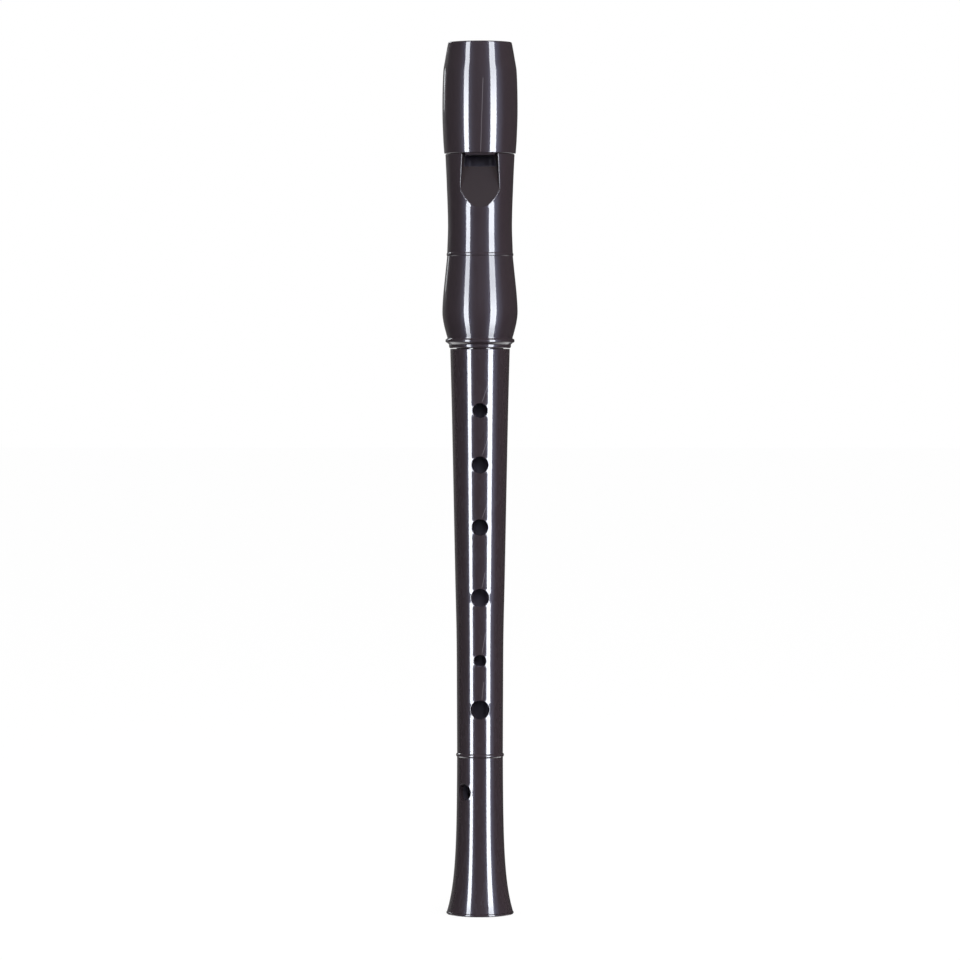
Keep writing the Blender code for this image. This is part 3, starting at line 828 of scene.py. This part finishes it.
def wedge(name, x_at, y_range, z_range):
    """Box with flat sides whose half width x_at(y, z) may change from corner to corner.

    y_range gives the two y values at the low z and the two at the high z.
    """
    bpy.ops.object.select_all(action="DESELECT")
    bpy.ops.mesh.primitive_cube_add(size=2.0, location=(0.0, 0.0, 0.0))
    obj = bpy.context.object
    obj.name = name
    for vertex in obj.data.vertices:
        side = 1 if vertex.co.x > 0 else -1
        front = 0 if vertex.co.y < 0 else 1
        top = 0 if vertex.co.z < 0 else 1
        y = y_range[top][front]
        z = z_range[top]
        vertex.co = (side * x_at(y, z), y, z)
    return obj


def combine(obj, tool, operation):
    """Cuts a tool out of an object or joins it on, and puts the tool away."""
    bpy.ops.object.select_all(action="DESELECT")
    obj.select_set(True)
    bpy.context.view_layer.objects.active = obj
    step = obj.modifiers.new(tool.name, "BOOLEAN")
    step.operation = operation
    step.solver = "MANIFOLD"
    step.object = tool
    bpy.ops.object.modifier_apply(modifier=step.name)
    bpy.data.objects.remove(tool, do_unlink=True)


combine(head, spigot, "UNION")
window = wedge(
    "window",
    lambda y, z: wall_half(-y, z) - WINDOW_STEP,
    ((WINDOW_FRONT, WINDOW_BACK), (WINDOW_FRONT, WINDOW_BACK)),
    (LIP_Z, head_top + WINDOW_OVERCUT),
)
combine(head, window, "DIFFERENCE")
slot = wedge(
    "slot",
    lambda y, z: WINDOW_HALF,
    ((WINDOW_FRONT, -MM), (WINDOW_FRONT, -MM)),
    (head_top - SLOT_DEPTH, spigot_top + MM),
)
combine(head, slot, "DIFFERENCE")
relief_y = LIP_THICKNESS - LIP_FROM_AXIS
relief_rise = relief_y / LIP_RELIEF_LENGTH
relief = wedge(
    "lip_relief",
    lambda y, z: WINDOW_HALF,
    ((0.0, MM), (relief_y + relief_rise * MM, MM)),
    (LIP_Z - LIP_RELIEF_LENGTH, LIP_Z + MM),
)
combine(head, relief, "DIFFERENCE")
smooth(head, HEAD_SHARP_ANGLE)
head_finish = polished_brown("head_polished_brown", HEAD_DULLNESS, bore_radius=HEAD_BORE_RADIUS)
leave_ramp_matt(head_finish)
dress(head, head_finish)
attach(head, "head")
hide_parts("head_tube")


# Mouthpiece cap
# Upper part of the head joint, pressed over the head tube's spigot. Its back is cut away in a
# long hollow to make the beak, and a rib inside its front edge is the windway's roof.

CAP_LENGTH = 31.15 * MM
CAP_EDGE_RADIUS = 10.06 * MM
CAP_EDGE_ROUND = 0.2 * MM
CAP_BELLY_Z = 12.15 * MM
CAP_BELLY_RADIUS = 10.58 * MM
CAP_TIP_RADIUS = 9.23 * MM
CAP_TIP_ROUND = 0.4 * MM
CAP_CHEEK_DEPTH = 8.2 * MM
CAP_CHEEK_RADIUS = 10.32 * MM
CAP_SPACING = 0.4 * MM
BEAK_TIP_THICKNESS = 7.0 * MM
BEAK_CUT_LENGTH = 22.0 * MM
BEAK_HOLLOW = 1.2 * MM
BEAK_EDGE_BLEND = 0.7 * MM
BEAK_EDGE_ZONE = 0.8 * MM
CORNER_COLUMN = 56
EDGE_COLUMNS = 4
CORNER_LIMIT = math.radians(150.0)
POLE_SHIFT = 4.6 * MM
HEEL_EASE = 8.0 * MM
WINDWAY_ROOF = 5.9 * MM
WINDWAY_EXIT_HEIGHT = 1.0 * MM
WINDWAY_ENTRY_HEIGHT = 1.4 * MM
RIB_HALF = 4.1 * MM
SLEEVE_LENGTH = 8.0 * MM
SLEEVE_CLEARANCE = 0.1 * MM
CHANNEL_OVERCUT = 0.5 * MM
CAP_LINE_LOW = (0.15 * MM, 213.5 * MM)
CAP_LINE_HIGH = (0.85 * MM, 235.0 * MM)

cap_low, cap_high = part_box("mouthpiece_cap")
cap_top = cap_high[2]
cap_base = cap_top - CAP_LENGTH
rib_end = cap_low[2]

tip_centre = (CAP_TIP_RADIUS - CAP_TIP_ROUND, cap_top - CAP_TIP_ROUND)
cheek_z = cap_top - CAP_CHEEK_DEPTH
cap_stations = [
    (CAP_TIP_RADIUS, tip_centre[1]),
    (between(CAP_TIP_RADIUS, CAP_CHEEK_RADIUS, 0.45), between(cheek_z, tip_centre[1], 0.5)),
    (CAP_CHEEK_RADIUS, cheek_z),
    (CAP_BELLY_RADIUS, cap_base + CAP_BELLY_Z),
    (between(CAP_EDGE_RADIUS, CAP_BELLY_RADIUS, 0.5), cap_base + CAP_BELLY_Z * 0.32),
    (CAP_EDGE_RADIUS, cap_base + CAP_EDGE_ROUND),
]
cap_skin = arc(tip_centre, CAP_TIP_ROUND, 90, 0, 6)
cap_skin += flowing(cap_stations, CAP_SPACING)[1:]
cap_edge = (CAP_EDGE_RADIUS - CAP_EDGE_ROUND, cap_base + CAP_EDGE_ROUND)
cap_skin += arc(cap_edge, CAP_EDGE_ROUND, 0, -90, 5)[1:]
cap = turned("mouthpiece_cap_fine", cap_skin, closed=False)

beak_tip = (-CAP_TIP_RADIUS + BEAK_TIP_THICKNESS, cap_top)
beak_heel = (CAP_BELLY_RADIUS, cap_top - BEAK_CUT_LENGTH)
chord = math.dist(beak_tip, beak_heel)
roller_radius = chord * chord / (8 * BEAK_HOLLOW) + BEAK_HOLLOW / 2
roller_reach = roller_radius - BEAK_HOLLOW
roller_y = (beak_tip[0] + beak_heel[0]) / 2 + roller_reach * (beak_tip[1] - beak_heel[1]) / chord
roller_z = (beak_tip[1] + beak_heel[1]) / 2 - roller_reach * (beak_tip[0] - beak_heel[0]) / chord


def beak_cut(z):
    """How far back the beak reaches at a height."""
    return roller_y - math.sqrt(roller_radius**2 - (z - roller_z)**2)


def beak_section(column, radius, z, inset):
    """Place across and back of one column of the cap, where its back is cut away."""
    heel_z = beak_heel[1]
    cut = beak_cut(max(z, heel_z)) - inset + max(heel_z - z, 0.0)
    pole = -POLE_SHIFT * eased((z - heel_z + HEEL_EASE) / (cap_top - heel_z + HEEL_EASE))
    half_columns = TURN_STEPS // 2
    even = CORNER_COLUMN * column_angle
    if cut < radius:
        corner = math.pi - math.atan2(math.sqrt(radius**2 - cut**2), cut - pole)
    else:
        corner = math.pi
    aim = min(corner, CORNER_LIMIT)
    pull = eased((z - heel_z + HEEL_EASE) / HEEL_EASE)
    aim = between(even, aim, pull)
    zone = between(EDGE_COLUMNS * column_angle, BEAK_EDGE_ZONE / radius, pull)
    first = CORNER_COLUMN - EDGE_COLUMNS
    last = CORNER_COLUMN + EDGE_COLUMNS
    if column <= first:
        angle = (aim - zone) * column / first
    elif column <= last:
        angle = between(aim - zone, aim + zone, (column - first) / (last - first))
    else:
        angle = between(aim + zone, math.pi, (column - last) / (half_columns - last))
    along = -pole * math.cos(angle)
    reach = -along + math.sqrt(along**2 - pole**2 + radius**2)
    if math.cos(angle) < 0:
        flat = (cut - pole) / -math.cos(angle)
        reach = soft_least(reach, flat, BEAK_EDGE_BLEND)
    return reach * math.sin(angle), pole - reach * math.cos(angle)


shape = bmesh.new()
shape.from_mesh(cap.data)
for vertex in shape.verts:
    place = vertex.co
    radius = math.hypot(place.x, place.y)
    turn = math.atan2(place.x, -place.y)
    column = round(abs(turn) / column_angle)
    inset = CAP_TIP_RADIUS - radius if place.z > tip_centre[1] else 0.0
    across, back = beak_section(column, radius, place.z, inset)
    place.x = math.copysign(across, turn) if 0 < column < TURN_STEPS // 2 else 0.0
    place.y = back
shape.to_mesh(cap.data)
shape.free()
edit(cap)
bpy.ops.mesh.select_mode(type="EDGE")
bpy.ops.mesh.select_non_manifold()
bpy.ops.mesh.fill_holes(sides=0)
bpy.ops.mesh.select_all(action="SELECT")
bpy.ops.mesh.normals_make_consistent(inside=False)
leave_edit()


def rod(name, radius, z_range):
    """Round tool or plug that stands on the bore's axis."""
    bpy.ops.object.select_all(action="DESELECT")
    bpy.ops.mesh.primitive_cylinder_add(
        vertices=TURN_STEPS,
        radius=radius,
        depth=z_range[1] - z_range[0],
        location=(0.0, 0.0, (z_range[0] + z_range[1]) / 2),
    )
    obj = bpy.context.object
    obj.name = name
    bpy.ops.object.transform_apply(location=True, rotation=True, scale=True)
    return obj


sleeve_radius = SPIGOT_RADIUS + SLEEVE_CLEARANCE
combine(cap, rod("sleeve", sleeve_radius, (cap_base - MM, cap_base + SLEEVE_LENGTH)), "DIFFERENCE")
combine(cap, rod("cap_bore", HEAD_BORE_RADIUS, (cap_base - MM, cap_top + MM)), "DIFFERENCE")
channel = wedge(
    "windway_channel",
    lambda y, z: WINDOW_HALF,
    ((-WINDWAY_ROOF, 0.0), (-WINDWAY_ROOF, 0.0)),
    (cap_base + SLEEVE_LENGTH - CHANNEL_OVERCUT, cap_top + MM),
)
combine(cap, channel, "DIFFERENCE")
rib_y = (-(SPIGOT_RADIUS + CAP_EDGE_RADIUS) / 2, -WINDWAY_ROOF)
rib = wedge(
    "windway_roof_rib",
    lambda y, z: RIB_HALF,
    (rib_y, rib_y),
    (rib_end, cap_base + SLEEVE_LENGTH + MM),
)
combine(cap, rib, "UNION")
smooth(cap)
cap_line = (CAP_LINE_LOW, CAP_LINE_HIGH)
cap_finish = polished_brown("cap_polished_brown", HEAD_DULLNESS, lines=[cap_line])
dress(cap, cap_finish)
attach(cap, "head")
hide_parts("mouthpiece_cap")


# Windway block
# Plug pressed into the head's bore and the cap, satin from the mould. Its flat is the windway's
# floor, its lower end shows in the window, and its upper end is cut with the beak.

BLOCK_CLEARANCE = 0.05 * MM
BLOCK_DULLNESS = (0.3, 0.4)
BLOCK_HAZE = 0.1
BLOCK_COAT = 0.3
ROLLER_STEPS = 512

block_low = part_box("windway_block")[0]
block_radius = HEAD_BORE_RADIUS - BLOCK_CLEARANCE
block = rod("windway_block_fine", block_radius, (block_low[2], cap_top))
exit_y = WINDWAY_EXIT_HEIGHT - WINDWAY_ROOF
entry_y = WINDWAY_ENTRY_HEIGHT - WINDWAY_ROOF
floor_block = wedge(
    "windway_floor",
    lambda y, z: WINDOW_HALF - BLOCK_CLEARANCE,
    ((exit_y, -MM), (entry_y, -MM)),
    (block_low[2], cap_top),
)
combine(block, floor_block, "UNION")
plane = wedge(
    "floor_plane",
    lambda y, z: 2 * block_radius,
    ((-2 * block_radius, exit_y), (-2 * block_radius, entry_y)),
    (block_low[2] - MM, cap_top + MM),
)
combine(block, plane, "DIFFERENCE")
bpy.ops.object.select_all(action="DESELECT")
bpy.ops.mesh.primitive_cylinder_add(
    vertices=ROLLER_STEPS,
    radius=roller_radius,
    depth=6 * block_radius,
    location=(0.0, roller_y, roller_z),
    rotation=(0.0, math.pi / 2, 0.0),
)
roller = bpy.context.object
roller.name = "roller"
combine(block, roller, "DIFFERENCE")
smooth(block)
block_finish = polished_brown("block_satin_brown", BLOCK_DULLNESS, haze=BLOCK_HAZE, coat=BLOCK_COAT)
dress(block, block_finish)
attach(block, "head")
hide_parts("windway_block")


# Floor
# Plain pale sheet that the recorder stands on. It is nearly white to the camera and keeps a
# faint shadow under the foot.

FLOOR_SIZE = 12.0
FLOOR_GLOW = 0.9
FLOOR_GREY = (0.15, 0.15, 0.15, 1.0)

bpy.ops.object.select_all(action="DESELECT")
bpy.ops.mesh.primitive_plane_add(size=FLOOR_SIZE, location=(0.0, 0.0, 0.0))
floor = bpy.context.object
floor.name = "floor"
paper = bpy.data.materials.new("pale_floor")
paper.use_nodes = True
nodes = paper.node_tree.nodes
links = paper.node_tree.links
nodes.clear()
output = add_node(nodes, "ShaderNodeOutputMaterial", (400, 0))
mix = add_node(nodes, "ShaderNodeAddShader", (200, 0))
matt = add_node(nodes, "ShaderNodeBsdfDiffuse", (0, 100))
matt.inputs["Color"].default_value = FLOOR_GREY
glow = add_node(nodes, "ShaderNodeEmission", (0, -100))
rays = add_node(nodes, "ShaderNodeLightPath", (-400, -100))
level = add_node(nodes, "ShaderNodeMath", (-200, -100), operation="MULTIPLY")
level.inputs[1].default_value = FLOOR_GLOW
links.new(rays.outputs["Is Camera Ray"], level.inputs[0])
links.new(level.outputs[0], glow.inputs["Strength"])
links.new(matt.outputs[0], mix.inputs[0])
links.new(glow.outputs[0], mix.inputs[1])
links.new(mix.outputs[0], output.inputs["Surface"])
floor.data.materials.append(paper)
floor.visible_glossy = False
floor.visible_shadow = False


# Lamps
# Two tall strip boxes draw the white stripes down the polish, and a dim blue one tints the edge
# of the right stripe. Two strips far back draw the thin lights at the left edge, and soft fills
# lift the brown. The world is white to the camera and a dim room in the polish.

STRIP_DISTANCE = 0.9
STRIP_HEIGHT = 1.5
STRIP_RADIANCE = 22.0
STRIP_LEVELS = (1.0, 0.9, 1.0)
STRIP_TOP_LEVEL = 0.7
STRIP_TOP_FADE = (0.57, 0.68)
STRIP_LOW_LEVEL = 0.6
STRIP_LOW_FADE = (0.15, 0.35)
BACK_DISTANCE = 3.0
LIT_HEIGHT = 0.12


def strip_box(name, azimuths, distance, height, centre_z, radiance, colour, levels=STRIP_LEVELS):
    """Tall lamp that only shows in the polish, between two directions seen from the bore.

    Its levels are those at its first direction, in its middle and at its second direction.
    """
    low, high = (math.radians(value) for value in azimuths)
    middle = (low + high) / 2
    width = 2 * distance * math.tan((high - low) / 2)
    lamp = bpy.data.lights.new(name, "AREA")
    lamp.shape = "RECTANGLE"
    lamp.size = width
    lamp.size_y = height
    lamp.energy = radiance * math.pi * width * height
    lamp.color = colour
    lamp.use_nodes = True
    nodes = lamp.node_tree.nodes
    links = lamp.node_tree.links
    spot = add_node(nodes, "ShaderNodeNewGeometry", (-1000, 0))
    apart = add_node(nodes, "ShaderNodeSeparateXYZ", (-850, 0))
    links.new(spot.outputs["Parametric"], apart.inputs[0])
    across = apart.outputs["X"]
    along = apart.outputs["Y"]
    first, centre, last = levels
    side = ramped(nodes, links, (-600, 200), across, (0.1, 0.4), (first, centre))
    more = ramped(nodes, links, (-600, 0), across, (0.6, 0.9), (0.0, last - centre))
    side = worked(nodes, links, (-400, 100), "ADD", side, more)
    top = ramped(nodes, links, (-400, -100), along, STRIP_TOP_FADE, (1.0, STRIP_TOP_LEVEL))
    bottom = ramped(nodes, links, (-400, -300), along, STRIP_LOW_FADE, (STRIP_LOW_LEVEL, 1.0))
    level = worked(nodes, links, (-300, 0), "MULTIPLY", side, top)
    level = worked(nodes, links, (-150, 0), "MULTIPLY", level, bottom)
    links.new(level, nodes["Emission"].inputs["Strength"])
    obj = bpy.data.objects.new(name, lamp)
    bpy.context.scene.collection.objects.link(obj)
    obj.location = (distance * math.sin(middle), -distance * math.cos(middle), centre_z)
    obj.rotation_euler = (math.pi / 2, 0.0, middle)
    obj.visible_camera = False
    obj.visible_diffuse = False
    return obj


def soft_fill(name, azimuth, elevation, distance, size, irradiance, colour):
    """Broad lamp that lights the colour and does not show in the polish."""
    turn = math.radians(azimuth)
    lift = math.radians(elevation)
    lamp = bpy.data.lights.new(name, "AREA")
    lamp.shape = "SQUARE"
    lamp.size = size
    lamp.energy = irradiance * math.pi * distance**2
    lamp.color = colour
    obj = bpy.data.objects.new(name, lamp)
    bpy.context.scene.collection.objects.link(obj)
    out = distance * math.cos(lift)
    high = distance * math.sin(lift) + LIT_HEIGHT
    obj.location = (out * math.sin(turn), -out * math.cos(turn), high)
    obj.rotation_euler = (math.pi / 2 - lift, 0.0, turn)
    obj.visible_camera = False
    obj.visible_glossy = False
    return obj


COOL = (0.93, 0.965, 1.0)
WHITE = (1.0, 1.0, 1.0)
WARM = (1.0, 0.82, 0.8)
BLUE = (0.62, 0.7, 1.0)
SKIRT_LEVELS = (1.0, 0.5, 0.0)
tall = (STRIP_DISTANCE, STRIP_HEIGHT, LIT_HEIGHT)
strip_box("left_strip", (-50.2, -35.5), *tall, STRIP_RADIANCE, COOL)
strip_box("right_strip", (32.2, 51.6), *tall, STRIP_RADIANCE, COOL)
strip_box("skirt", (51.8, 78.0), *tall, 1.0, BLUE, SKIRT_LEVELS)
strip_box("edge_strip", (-147.0, -139.0), BACK_DISTANCE, 0.27, 0.51, 2.8, COOL)
strip_box("high_strip", (-152.0, -141.0), BACK_DISTANCE, 0.7, 1.55, 9.0, COOL)
soft_fill("front_fill", 10.0, 20.0, 1.5, 0.8, 0.45 * math.pi, WHITE)
soft_fill("right_fill", 60.0, 15.0, 1.5, 0.8, 0.18 * math.pi, WARM)

DIM_ROOM = 0.05
PALE_LEFT = 0.18
PAPER_BEHIND = 2.2
AMBIENT_LEVEL = 0.6
BEHIND_ANGLES = (9.5, 8.5)
LEFT_ANGLES = (58.0, 50.0)
LEFT_FADE = (-0.1, 0.0)
LOW_FADE = (-0.5, -0.4)
BEYOND_FADE = (0.0, 0.35)
world = bpy.data.worlds.new("studio")
bpy.context.scene.world = world
world.use_nodes = True
nodes = world.node_tree.nodes
links = world.node_tree.links
nodes.clear()
output = add_node(nodes, "ShaderNodeOutputWorld", (800, 0))
seen = add_node(nodes, "ShaderNodeMixShader", (600, 0))
white = add_node(nodes, "ShaderNodeBackground", (400, -200))
white.inputs["Strength"].default_value = 1.0
white.inputs["Color"].default_value = (1.0, 1.0, 1.0, 1.0)
other = add_node(nodes, "ShaderNodeMixShader", (400, 100))
ambient = add_node(nodes, "ShaderNodeBackground", (200, 200))
ambient.inputs["Color"].default_value = (1.0, 1.0, 1.0, 1.0)
ambient.inputs["Strength"].default_value = AMBIENT_LEVEL
mirrored = add_node(nodes, "ShaderNodeBackground", (200, 0))
rays = add_node(nodes, "ShaderNodeLightPath", (-400, 300))
shiny = add_node(nodes, "ShaderNodeMath", (-200, 200), operation="MAXIMUM")
links.new(rays.outputs["Is Glossy Ray"], shiny.inputs[0])
links.new(rays.outputs["Is Transmission Ray"], shiny.inputs[1])
place = add_node(nodes, "ShaderNodeTexCoord", (-1000, 0))
apart = add_node(nodes, "ShaderNodeSeparateXYZ", (-800, 0))
links.new(place.outputs["Generated"], apart.inputs[0])
behind_edge = [math.cos(math.radians(angle)) for angle in BEHIND_ANGLES]
behind = ramped(nodes, links, (-400, 0), apart.outputs["Y"], behind_edge, (DIM_ROOM, 1.0))
left_edge = [math.cos(math.radians(angle)) for angle in LEFT_ANGLES]
pale = ramped(nodes, links, (-600, -200), apart.outputs["Y"], left_edge, (0.0, PALE_LEFT))
left = ramped(nodes, links, (-600, -400), apart.outputs["X"], LEFT_FADE, (1.0, 0.0))
pale = worked(nodes, links, (-400, -200), "MULTIPLY", pale, left)
room = worked(nodes, links, (-200, -100), "MAXIMUM", behind, pale)
low = ramped(nodes, links, (-600, -600), apart.outputs["Z"], LOW_FADE, (PAPER_BEHIND, 0.0))
beyond = ramped(nodes, links, (-600, -800), apart.outputs["Y"], BEYOND_FADE, (0.0, 1.0))
paper_light = worked(nodes, links, (-400, -700), "MULTIPLY", low, beyond)
room = worked(nodes, links, (-50, -200), "MAXIMUM", room, paper_light)
links.new(room, mirrored.inputs["Strength"])
links.new(shiny.outputs[0], other.inputs["Fac"])
links.new(ambient.outputs[0], other.inputs[1])
links.new(mirrored.outputs[0], other.inputs[2])
links.new(rays.outputs["Is Camera Ray"], seen.inputs["Fac"])
links.new(other.outputs[0], seen.inputs[1])
links.new(white.outputs[0], seen.inputs[2])
links.new(seen.outputs[0], output.inputs["Surface"])


# Camera
# A long lens at the height of the recorder's upper part, straight in front of the finger holes.

CAMERA_DISTANCE = 1.306
CAMERA_HEIGHT = 0.160
CAMERA_LENS = 174.24
CAMERA_TILT = 1.655
SENSOR_WIDTH = 36.0

lens = bpy.data.cameras.new("camera")
lens.lens = CAMERA_LENS
lens.sensor_width = SENSOR_WIDTH
camera = bpy.data.objects.new("camera", lens)
bpy.context.scene.collection.objects.link(camera)
camera.location = (0.0, -CAMERA_DISTANCE, CAMERA_HEIGHT)
camera.rotation_euler = (math.radians(90.0 - CAMERA_TILT), 0.0, 0.0)
bpy.context.scene.camera = camera
bpy.context.scene.view_settings.view_transform = "Standard"
